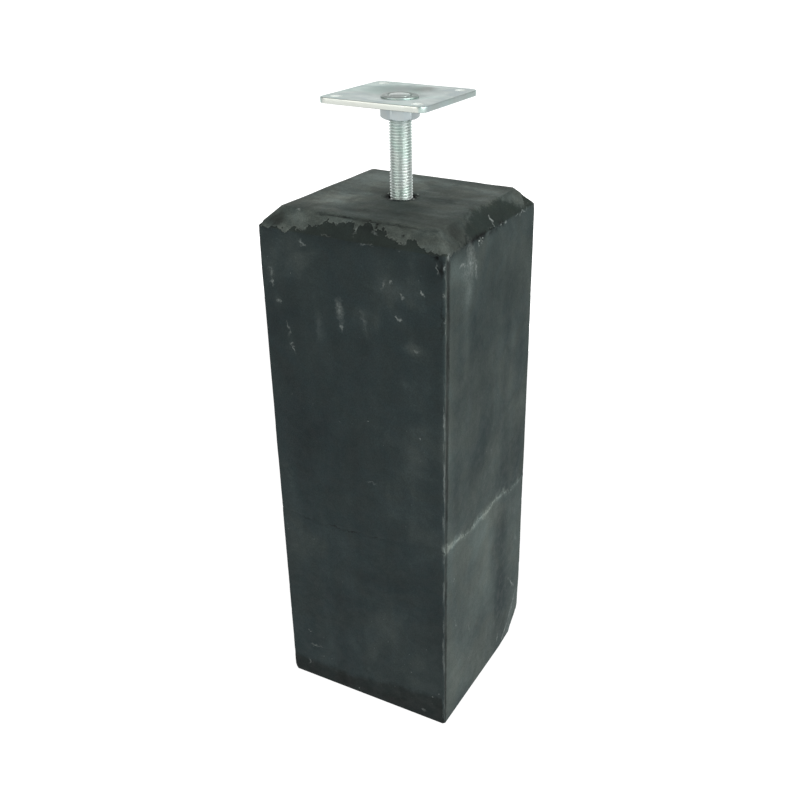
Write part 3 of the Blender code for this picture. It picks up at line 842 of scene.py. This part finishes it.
def concreteMaterial(look):
    nodes = Material("anthracite_concrete")
    here, noise, ramp, mix = nodes.here, nodes.noise, nodes.ramp, nodes.mix
    clouds = noise(here, 11, 3, 0.55, 0.5)
    patches = noise(here, 34, 4, 0.6, 1)
    mottle = noise(here, 130, 4, 0.62)
    fine = noise(here, 420, 3, 0.6)
    grain = noise(here, 950, 3, 0.6)
    streaks = noise(nodes.stretched((48, 48, 5)), 1, 2, 0.5)
    wipes = noise(nodes.stretched((8, 34, 40), (0, 0, 0.12)), 1, 5, 0.6, 1.6)
    tone, roundBlock, climb = (nodes.vertex(name) for name in ("tone", "roundBlock", "climb"))
    right = ramp(roundBlock, 0.992, 1) * ramp(roundBlock, 1.99, 2, 1, 0)
    onChamfer = ramp(climb, 0.4840, 0.4858)

    # Moulded sides
    bareAll, bareRight = look["bareChamfer"]
    level = sway(clouds, 0.42) + sway(patches, 0.22) + sway(mottle, 0.22) + sway(streaks, 0.18)
    level += tone * 0.22 + look["sideLevel"]
    # Painted light on the +X side
    level += right * look["rightLevel"]
    level -= onChamfer * (right * bareRight + bareAll)
    pour = nodes.vertex("pourDistance") + sway(mottle, 11 * mm)
    offPour = abs(pour)
    level += ramp(pour, -1.5 * mm, 1 * mm, 1, 0) * right * look["lowerPour"]
    level += ramp(offPour, 0.5 * mm, 7.5 * mm, 1, 0) * right * ramp(patches, 0.38, 0.58, 0.05, 0.22)
    level += ramp(offPour, 0.5 * mm, 3 * mm, 1, 0) * right * ramp(fine, 0.42, 0.6, -0.06, 0.22)
    lump = ramp(abs(roundBlock - 1.01), 0.018, 0.034, 1, 0) * ramp(offPour, 3 * mm, 8 * mm, 1, 0)
    level += lump * ramp(mottle, 0.42, 0.58, -0.05, 0.32)
    damp = ramp(nodes.vertex("dampDistance") + sway(mottle, 10 * mm), -4 * mm, 4 * mm)
    level -= damp * look["damp"]
    sides = nodes.colors(level, look["sides"])
    for factor, tint in ((damp, "wet"), (onChamfer, "chamferTint"), (right, "rightTint")):
        sides = mix(factor, sides, look[tint], "MULTIPLY")

    # The floated coat, torn sharply in some places, feathered out in others and all along the +X side
    lobes = noise(here, 135, 3, 0.5, 0.4)
    torn = nodes.vertex("coatDistance") + sway(lobes, 13 * mm) + sway(fine, 10 * mm)
    wiped = ramp(roundBlock, 1.06, 1.16) * ramp(roundBlock, 1.84, 1.96, 1, 0)
    feather = larger(wiped, ramp(patches, 0.48, 0.66, 0, 0.6))
    onCoat = ramp(torn, feather * (-4 * mm) - 0.3 * mm, feather * (4.5 * mm) + 0.7 * mm)
    level = sway(wipes, 0.45) + sway(patches, 0.6) + sway(mottle, 0.42) + sway(clouds, 0.3) + sway(fine, 0.2)
    level += tone * 0.22 + look["coatLevel"]
    level += ramp(torn, 0.6 * mm, 3 * mm, 0.1, 0)
    shade = ramp(torn, -3 * mm, -0.2 * mm) * ramp(climb, 0.45, 0.47)
    color = mix(onCoat, mix(shade * 0.2, sides, look["pit"]), nodes.colors(level, look["coat"]))

    # Cool and warm tints
    hue = noise(here, 16, 3, 0.6, 1.5)
    color = mix(0.32, color, mix(ramp(hue, 0.38, 0.62), look["cool"], look["warm"]), "MULTIPLY")

    # Pale and dark strokes, with the mould's fin and the groove beside it, the groove painted dark as shade
    fin = blockFeatures["fin"]
    wear = noise(nodes.stretched((200, 200, 34)), 1, 4, 0.65)
    onSide = ramp(climb, 0.478, 0.484, 1, 0)
    finWear = onSide * ramp(climb, 0.2, 0.42, 0.45, 1) * ramp(wear, 0.46, 0.6, 0, 0.55)
    ridge = arrisLine(nodes, fin["ridge"], (1.1 * mm,) * 3, finWear)
    breakUp = ramp(noise(here, 300, 3, 0.6), 0.38, 0.56, 0.35, 1)
    color = mix(larger(markField(nodes, paleMarks) * breakUp, ridge), color, look["chalk"])
    # Painted shade in the groove beside the fin
    grooveWear = onSide * ramp(wear, 0.36, 0.62, 0.85, 0.6)
    groove = arrisLine(nodes, fin["groove"], [2 * width for width in fin["grooveWidth"]], grooveWear)
    breakUp = ramp(mottle, 0.36, 0.55, 0.3, 1)
    color = mix(larger(markField(nodes, darkMarks) * breakUp, groove), color, look["pit"])

    # Specks, painted shade in the crack, pits, chips and the hole's mouth, broken faces and grain
    speck = ramp(noise(here, 280, 2, 0.5), 0.72, 0.77, 0, 0.35) * ramp(clouds, 0.5, 0.6)
    color = mix(speck, color, look["chalk"])
    color = mix(nodes.vertex("paintedRecessShade") * ramp(fine, 0.3, 0.5, 0.55, 1), color, look["pit"])
    color = mix(nodes.vertex("broken") * ramp(mottle, 0.42, 0.62, 0, 0.25), color, look["chalk"])
    color = mix(ramp(grain, 0.3, 0.7, 0, 0.28), color, look["pit"])
    return nodes.finish({
        "Base Color": color,
        "Roughness": ramp(mottle, 0.3, 0.7, *look["roughness"]),
        "Specular IOR Level": look["specular"],
        "Normal": nodes.bumps((onCoat, 0.35 * mm), (mottle, 0.3 * mm), (grain, 0.08 * mm)),
    })


def crumbMaterial():
    nodes = Material("cement_crumb")
    steps = ((0.38, (0.03, 0.036, 0.034)), (0.5, (0.13, 0.15, 0.14)), (0.62, (0.34, 0.37, 0.36)))
    return nodes.finish({
        "Base Color": nodes.colors(nodes.noise(nodes.here, 500, 3, 0.6), steps),
        "Roughness": 0.85,
    })


concrete = concreteMaterial(concreteLook)
block = makeBlock(blockShape, blockFeatures)
block.data.materials.append(concrete)
place(block, "block", "concrete", ["concrete_block"])
print("block made:", len(block.data.polygons), "faces")


# Zinc-plated steel

zincLook = {
    "green": (0.57, 0.72, 0.675),
    "grey": (0.60, 0.69, 0.665),
    "blue": (0.56, 0.68, 0.735),
    "roughness": (0.28, 0.42),
    "heat": (0.36, 0.36, 0.33),
    "heatReach": 28 * mm,
    "burn": (0.006, 0.032, 0),
    "holeAt": (0.038, 0.038, 0),
    "burr": (0.86, 0.9, 0.87),
    "burrReach": (4.9 * mm, 5.5 * mm),
    "rubbed": (0.8, 0.81, 0.75),
    "rubbedReach": (-49.7 * mm, -49.1 * mm),
    "grain": 0.012 * mm,
    "waves": 0.06 * mm,
    "thread": None,
}
threadLook = {
    **zincLook,
    "green": (0.60, 0.69, 0.655),
    "grey": (0.63, 0.68, 0.66),
    "blue": (0.60, 0.68, 0.70),
    "roughness": (0.36, 0.42),
    "waves": 0,
    # Painted shade in its valleys and painted highlights on its crests: how light each is at the block, where
    # they mirror dark concrete, and higher up; and a painted highlight on the rod above the nut
    "thread": {
        "valley": (1.0, 0.9),
        "crest": (1.3, 1.36),
        "higher": 50 * mm,
        "radii": (8.9 * mm, 9.75 * mm),
        "top": 1.2,
    },
}
nutLook = {**zincLook, "green": (0.57, 0.645, 0.65), "grey": (0.58, 0.64, 0.64), "blue": (0.55, 0.64, 0.69)}


def zincMaterial(name, look, heatTint=0.0):
    nodes = Material(name)
    ramp, mix, measure = nodes.ramp, nodes.mix, nodes.measure
    clouds = nodes.noise(nodes.here, 42, 4, 0.6, 0.8)
    hue = nodes.noise(nodes.here, 26, 2, 0.5, 1)
    spangle = nodes.noise(nodes.here, 480, 3, 0.7)
    flat = nodes.stretched((1, 1, 0))
    fromAxis = measure("LENGTH", flat)
    _, along, height = nodes.split(nodes.here)
    color = mix(ramp(hue, 0.38, 0.62), look["green"], look["grey"])
    color = mix(ramp(clouds, 0.5, 0.72, 0, 0.45), color, look["blue"])
    metal = 1.0
    if heatTint:
        # A brown-grey bloom round the weld, with a darker spot to one side
        bloom = ramp(fromAxis, 9 * mm, look["heatReach"], heatTint, 0)
        bloom = larger(bloom, ramp(measure("DISTANCE", flat, look["burn"]), 3 * mm, 15 * mm, 0.6, 0))
        color = mix(bloom * ramp(clouds, 0.2, 0.7, 0.5, 1), color, look["heat"])
        # The screw holes' walls and edges are painted pale and not metallic, painted light in place of their
        # shade, and the -Y edge gets a painted highlight
        folded = nodes.add("ShaderNodeVectorMath", {0: flat}, operation="ABSOLUTE")
        burr = ramp(measure("DISTANCE", folded, look["holeAt"]), *look["burrReach"], 0.85, 0)
        color = mix(burr, color, look["burr"])
        metal = 1 - burr
        # Painted highlight along the -Y edge, paler and creamier
        color = mix(ramp(along, *look["rubbedReach"], 0.8, 0), color, look["rubbed"])
    thread = look["thread"]
    if thread:
        # Painted shade in the valleys, painted highlights on the crests and on the rod above the nut
        higher = blockTop + thread["higher"]
        valley = ramp(height, blockTop, higher, *thread["valley"])
        crest = ramp(height, blockTop, higher, *thread["crest"])
        light = ramp(fromAxis, *thread["radii"], valley, crest)
        light = larger(light, ramp(height, nutHigh.z, nutHigh.z + 1 * mm, 0, thread["top"]))
        color = mix(1.0, color, light, "MULTIPLY")
    values = {"Base Color": color, "Roughness": ramp(clouds, 0.3, 0.7, *look["roughness"]), "Metallic": metal}
    if look["waves"]:
        values["Normal"] = nodes.bumps((clouds, look["waves"]), (spangle, look["grain"]))
    return nodes.finish(values)


zincHeated = zincMaterial("zinc_plating_by_weld", zincLook, 0.35)
zincThread = zincMaterial("zinc_plated_thread", threadLook)
zincNut = zincMaterial("zinc_plated_nut", nutLook)
weldMetal = zincMaterial("weld_metal", {**zincLook, "roughness": (0.34, 0.5)}, 0.5)


# Threaded rod: one helix over a tube, both ends chamfered

rodShape = {
    "Rod Diameter": 20 * mm,
    "Thread Pitch": 2.5 * mm,
    "Thread Depth": 1.3 * mm,
    "Rod Length": rodHigh.z - rodLow.z,
    "Foot Height": float(rodLow.z),
    "End Chamfer": 1.5 * mm,
    "Sides": 48,
    "Steps Per Turn": 10,
    "Material": zincThread,
}


def threadTree(shape):
    tree = GeometryTree("thread_helix", shape)
    length, pitch = tree["Rod Length"], tree["Thread Pitch"]
    step = pitch / tree["Steps Per Turn"]
    sheet, turn, share = tree.sheet(tree["Sides"] + 1, length / step + 3)
    # The first and last rows are the ends' middles, so the height is held at both ends
    climb = share * (length + step * 2) - step
    height = climb.math("MAXIMUM", 0).math("MINIMUM", length)
    phase = (height / pitch - turn + 1).math("FRACT")
    flank = tree.ramp(abs((phase - 0.5) * 2), 0.04, 0.9)
    radius = tree["Rod Diameter"] / 2
    cut = radius - tree["Thread Depth"] * (1 - flank)
    bevel = radius - tree["End Chamfer"] + height.math("MINIMUM", length - height)
    inside = climb.math("COMPARE", height, 0.5e-5)
    tree.wind(sheet, cut.math("MINIMUM", bevel) * inside, turn * (2 * math.pi), height + tree["Foot Height"])
    return tree


rod = threadTree(rodShape).run(meshObject("rod_with_thread", [], []))
place(rod, "head", "zinc_plated_steel", ["threaded_rod"])
print("rod made:", len(rod.data.polygons), "faces")


# Hex nut

nutShape = {
    "acrossFlats": 30 * mm,
    "faceDiameter": 28 * mm,
    "boreDiameter": 20.4 * mm,
    "sinkDiameter": 22 * mm,
    "chamferAngle": 30,        # degrees
    "turn": 3,                 # degrees
    "edgeRound": 0.35 * mm,
    "columnsPerFlat": 16,
}


def makeNut(shape):
    columnCount = 6 * shape["columnsPerFlat"]
    angles = np.arange(columnCount) * 2 * np.pi / columnCount
    fromFlat = (angles + np.pi / 6) % (np.pi / 3) - np.pi / 6
    hexReach = shape["acrossFlats"] / 2 / np.cos(fromFlat)
    hexReach = np.minimum(hexReach, shape["acrossFlats"] / 2 / math.cos(math.pi / 6) - shape["edgeRound"])
    angles = angles + math.radians(shape["turn"])
    face = np.full(columnCount, shape["faceDiameter"] / 2)
    bore = np.full(columnCount, shape["boreDiameter"] / 2)
    sink = np.full(columnCount, shape["sinkDiameter"] / 2)
    drop = (hexReach - face) * math.tan(math.radians(shape["chamferAngle"]))
    low, high = nutLow.z, nutHigh.z
    edge = shape["edgeRound"]
    sinkDrop = sink - bore
    profile = (
        (bore, low + sinkDrop), (sink, low + 0 * sink), (face, low + 0 * face),
        (face + (hexReach - face) * 0.93, low + drop * 0.93), (hexReach, low + drop + edge),
        (hexReach, high - drop - edge), (face + (hexReach - face) * 0.93, high - drop * 0.93),
        (face, high + 0 * face), (sink, high + 0 * sink), (bore, high - sinkDrop),
    )
    faces = gridFaces(len(profile), columnCount, closeRows=True)
    nut = meshObject("nut_with_chamfers", ringPoints(profile, angles), faces)
    smoothShade(nut, 24)
    return nut


nut = makeNut(nutShape)
nut.data.materials.append(zincNut)
place(nut, "head", "zinc_plated_steel", ["hex_nut"])
print("nut made")


# Post plate: pressed steel with a dished middle, rounded edges and four drilled holes

plateShape = {
    "thickness": 5 * mm,
    "cornerRadius": 8 * mm,
    "edgeRound": 0.8 * mm,
    "dishDepth": 3 * mm,
    "dishRadius": 40 * mm,
    "dishFloorRadius": 17 * mm,
    "boreRadius": 10.3 * mm,
    "screwHole": 9 * mm,
    "screwSpacing": 76 * mm,
    "holeBreak": 0.8 * mm,
    "columns": 192,
    "cornerGathering": 0.14,
    "waviness": 0.10 * mm,
}


def roundSquareReach(angles, half, radius):
    # Distance from the middle to a square with round corners, for each direction
    ux, uy = np.abs(np.cos(angles)), np.abs(np.sin(angles))
    straight = half / np.maximum(ux, uy)
    centre = half - radius
    along = centre * (ux + uy)
    arc = along + np.sqrt(np.maximum(along**2 - 2 * centre**2 + radius**2, 0))
    onCorner = np.minimum(ux, uy) * straight > centre
    return np.where(onCorner, arc, straight)


def dishDrop(radius, shape):
    share = np.clip((shape["dishRadius"] - radius) / (shape["dishRadius"] - shape["dishFloorRadius"]), 0, 1)
    return shape["dishDepth"] * (0.5 * share + 0.5 * smoothStep(share))


def makePlate(shape):
    half = (plateHigh.x - plateLow.x) / 2
    steps = np.arange(shape["columns"]) * 2 * np.pi / shape["columns"]
    angles = steps + shape["cornerGathering"] * np.sin(4 * steps)
    circles = np.concatenate([[shape["boreRadius"]], np.linspace(12 * mm, shape["dishRadius"], 18)])
    round0 = np.full(len(angles), 1.0)
    rim = roundSquareReach(angles, half - shape["edgeRound"], shape["cornerRadius"] - shape["edgeRound"])
    shares = np.linspace(0, 1, 11)[1:]
    reaches = [radius * round0 for radius in circles]
    reaches += [shape["dishRadius"] * (1 - share) + rim * share for share in shares]
    drops = [dishDrop(radius, shape) for radius in circles] + [0.0] * len(shares)
    profile = [(reach, seatZ - drop * round0) for reach, drop in zip(reaches, drops)]
    underside = [(reach, seatZ - shape["thickness"] - drop * round0) for reach, drop in zip(reaches, drops)]
    edge = shape["edgeRound"]
    for turn in np.linspace(0, math.pi / 2, 5)[1:]:
        out = edge * (1 - math.sin(turn))
        reach = roundSquareReach(angles, half - out, shape["cornerRadius"] - out)
        profile.append((reach, (seatZ - edge * (1 - math.cos(turn))) * round0))
    for turn in np.linspace(math.pi / 2, 0, 5)[:-1]:
        out = edge * (1 - math.sin(turn))
        reach = roundSquareReach(angles, half - out, shape["cornerRadius"] - out)
        profile.append((reach, (seatZ - shape["thickness"] + edge * (1 - math.cos(turn))) * round0))
    profile += underside[::-1]
    faces = gridFaces(len(profile), len(angles), closeRows=True)
    plate = meshObject("plate_dished", ringPoints(profile, angles), faces)
    places = vertexArray(plate.data)
    waves = layeredNoise(places * [1, 1, 0], 38 * mm, 71, 2)
    places[:, 2] -= shape["waviness"] * (0.5 + 0.5 * np.clip(waves, -1, 1))
    writeVertices(plate.data, places)
    faceOutward(plate)
    return plate


def faceOutward(obj):
    bm = bmesh.new()
    bm.from_mesh(obj.data)
    bmesh.ops.recalc_face_normals(bm, faces=bm.faces)
    bm.to_mesh(obj.data)
    bm.free()


def drillHoles(plate, shape):
    # Each drill is a turned cutter that also takes off the holes' edges
    radius = shape["screwHole"] / 2
    wide = radius + shape["holeBreak"]
    low, high = seatZ - shape["thickness"], seatZ
    over = 1 * mm
    profile = (
        (wide + over, low - over), (radius, low + shape["holeBreak"]),
        (radius, high - shape["holeBreak"]), (wide + over, high + over),
    )
    turns = np.arange(40) * 2 * np.pi / 40
    reach = shape["screwSpacing"] / 2
    for sx, sy in ((1, 1), (-1, 1), (-1, -1), (1, -1)):
        faces = gridFaces(len(profile), len(turns))
        faces.append(tuple(reversed(range(len(turns)))))
        faces.append(tuple((len(profile) - 1) * len(turns) + step for step in range(len(turns))))
        drill = meshObject("drill", ringPoints(profile, turns, sx * reach, sy * reach), faces)
        faceOutward(drill)
        cut = plate.modifiers.new("hole", "BOOLEAN")
        cut.solver = "EXACT"
        cut.object = drill
        settle(plate)
        bpy.data.objects.remove(drill, do_unlink=True)


plate = makePlate(plateShape)
drillHoles(plate, plateShape)
plate.data.materials.clear()
plate.data.materials.append(zincHeated)
smoothShade(plate, 32)
place(plate, "head", "zinc_plated_steel", ["post_plate"])
print("plate made:", len(plate.data.polygons), "faces")


# Weld bead round the rod's end

weldShape = {
    "Ring Radius": 13.1 * mm,
    "Bead Width": 6.2 * mm,
    "Bead Height": 1.9 * mm,
    "Foot Height": float(seatZ - plateShape["dishDepth"]),
    "Ripples": 21.0,
    "Ripple Depth": 0.035,
    "Unevenness": 0.18,
    "Around": 168,
    "Across": 20,
    "Material": weldMetal,
}


def weldTree(shape):
    tree = GeometryTree("weld_ripples", shape)
    sheet, turn, cross = tree.sheet(tree["Around"] + 1, tree["Across"] + 1)
    turn = turn * (2 * math.pi)
    cross = cross * (2 * math.pi)
    onRing = tree.add("ShaderNodeCombineXYZ", {0: turn.math("COSINE"), 1: turn.math("SINE")})
    # Each ripple lags behind at the bead's edges, as the pool freezes
    lag = (cross * 2).math("COSINE") * 0.8
    ripple = (turn * tree["Ripples"] + lag).math("SINE")
    swell = sway(tree.noise(onRing, 2.3, 2, 0.5), tree["Unevenness"]) + ripple * tree["Ripple Depth"]
    side = cross.math("COSINE") * (tree["Bead Width"] / 2)
    reach = tree["Ring Radius"] + side * (swell * 0.5 + 1)
    rise = cross.math("SINE")
    crown = rise.math("MAXIMUM", 0).math("POWER", 0.62) * tree["Bead Height"] * (swell + 1)
    sunk = rise.math("MINIMUM", 0) * (0.6 * mm)
    tree.wind(sheet, reach, turn, crown + sunk + tree["Foot Height"])
    return tree


weld = weldTree(weldShape).run(meshObject("weld_bead", [], []))
faceOutward(weld)
place(weld, "head", "zinc_plated_steel")
print("weld made")


# Crumbs of cement round the hole and on the +X side's shoulder

crumbShape = {
    "Density": 26000.0,
    "Smallest": 0.4 * mm,
    "Largest": 1.2 * mm,
    "Seed": 7,
    "Material": crumbMaterial(),
}


def crumbGround():
    # Thin strips where crumbs lie: round the hole, and a small patch on the +X side just below its shoulder
    lift = 0.2 * mm
    turns = np.arange(24) * 2 * np.pi / 24
    ground = blockTop + lift
    points = list(ringPoints(((12.6 * mm, ground), (18 * mm, ground)), turns))
    faces = [(i, 24 + i, 24 + (i + 1) % 24, (i + 1) % 24) for i in range(24)]
    # A few fell on the shoulder of the +X side
    side = blockHalf + lift
    points += [(side, y * mm, z * mm) for y, z in ((-34, 480), (-20, 477), (-20, 484.5), (-34, 484.5))]
    faces.append((48, 49, 50, 51))
    return meshObject("cement_crumbs", points, faces)


def crumbTree(shape):
    tree = GeometryTree("scattered_crumbs", shape)
    seed = tree["Seed"]
    spread = tree.add("GeometryNodeDistributePointsOnFaces", {
        "Mesh": tree["Geometry"], "Density": tree["Density"], "Seed": seed,
    })
    pebble = tree.add("GeometryNodeMeshIcoSphere", {"Radius": 1, "Subdivisions": 2})
    lumps = tree.noise(tree.add("GeometryNodeInputPosition"), 1.3, 2, 0.5)
    push = tree.add("ShaderNodeVectorMath", {
        0: tree.add("GeometryNodeInputNormal"), "Scale": lumps - 0.5,
    }, operation="SCALE")
    rough = tree.add("GeometryNodeSetPosition", {"Geometry": pebble, "Offset": push})
    sizes = {2: tree["Smallest"], 3: tree["Largest"], "Seed": seed}
    turns = {0: (0, 0, 0), 1: (6.28, 6.28, 6.28), "Seed": seed}
    tree.close(tree.add("GeometryNodeInstanceOnPoints", {
        "Points": spread,
        "Instance": rough,
        "Scale": tree.add("FunctionNodeRandomValue", sizes, 1, data_type="FLOAT"),
        "Rotation": tree.add("FunctionNodeRandomValue", turns, data_type="FLOAT_VECTOR"),
    }))
    return tree


crumbs = crumbTree(crumbShape).run(crumbGround())
smoothShade(crumbs, 60)
place(crumbs, "block", "concrete")
print("crumbs made:", len(crumbs.data.polygons), "faces")


# Floor and studio light

studio = {
    "floorReach": 0.8,
    "floorGlow": 0.95,
    "floorColor": 0.18,
    # What the steel mirrors, by direction: a pale wall behind, a dimmer ceiling and floor all round
    "wall": (0.9, (-0.5, 0.866, 0.0)),
    "horizon": 0.6,
    "ceiling": 0.38,
    "ground": 0.72,
    "groundLean": (0.06, -0.24, 0.0),
    "lights": (
        # name, azimuth and height in degrees, distance, width and height in metres, brightness, colour
        ("key", -13, 30, 2.4, 2.2, 2.0, 3.4, (1.0, 1.0, 0.985)),
        ("side", -112, 28, 2.2, 1.7, 1.5, 1.85, (1.0, 0.995, 0.95)),
    ),
}


def makeStudio(setup):
    reach = setup["floorReach"]
    corners = [(x * reach, y * reach, 0) for x, y in ((-1, -1), (1, -1), (1, 1), (-1, 1))]
    floor = meshObject("floor", corners, [(0, 1, 2, 3)])
    floor.data.materials.append(Material("floor_white").finish({
        "Base Color": [setup["floorColor"]] * 3,
        "Roughness": 1,
        "Specular IOR Level": 0,
        "Emission Color": (1, 1, 1),
        "Emission Strength": setup["floorGlow"],
    }))
    middle = Vector((0, 0, blockTop * 0.6))
    for name, azimuth, height, distance, width, tall, glow, color in setup["lights"]:
        data = bpy.data.lights.new(name, "AREA")
        data.shape = "RECTANGLE"
        data.size = width
        data.size_y = tall
        data.energy = glow * math.pi * width * tall
        data.color = color
        lamp = bpy.data.objects.new(name, data)
        turn, rise = math.radians(azimuth), math.radians(height)
        toLamp = Vector((math.cos(turn) * math.cos(rise), math.sin(turn) * math.cos(rise), math.sin(rise)))
        spot = middle + toLamp * distance
        lamp.matrix_world = Matrix.Translation(spot) @ toLamp.to_track_quat("Z", "Y").to_matrix().to_4x4()
        bpy.context.scene.collection.objects.link(lamp)
    bpy.context.scene.world = makeSurroundings(setup)
    bpy.context.scene.view_settings.view_transform = "Standard"


def makeSurroundings(setup):
    world = bpy.data.worlds.new("studio")
    world.use_nodes = True
    nodes = Nodes(world.node_tree)
    direction = nodes.add("ShaderNodeTexCoord", output="Generated")
    rise = nodes.split(direction)[2]
    glow, wallPlace = setup["wall"]
    ground = nodes.measure("DOT_PRODUCT", direction, setup["groundLean"]) + setup["ground"]
    low = nodes.ramp(rise, -0.12, 0.02, ground, setup["ceiling"])
    band = nodes.ramp(rise, 0.25, 0.75, glow, 0) + nodes.ramp(rise, 0.03, 0.13, setup["horizon"], 0)
    wall = nodes.ramp(nodes.measure("DOT_PRODUCT", direction, wallPlace), 0.45, 0.9) * band
    # The camera itself sees plain white
    seen = nodes.add("ShaderNodeLightPath", output="Is Camera Ray")
    back = world.node_tree.nodes["Background"]
    feed(back.inputs["Strength"], larger(larger(low, wall), seen))
    feed(back.inputs["Color"], (1, 1, 1))
    return world


makeStudio(studio)
print("studio made")
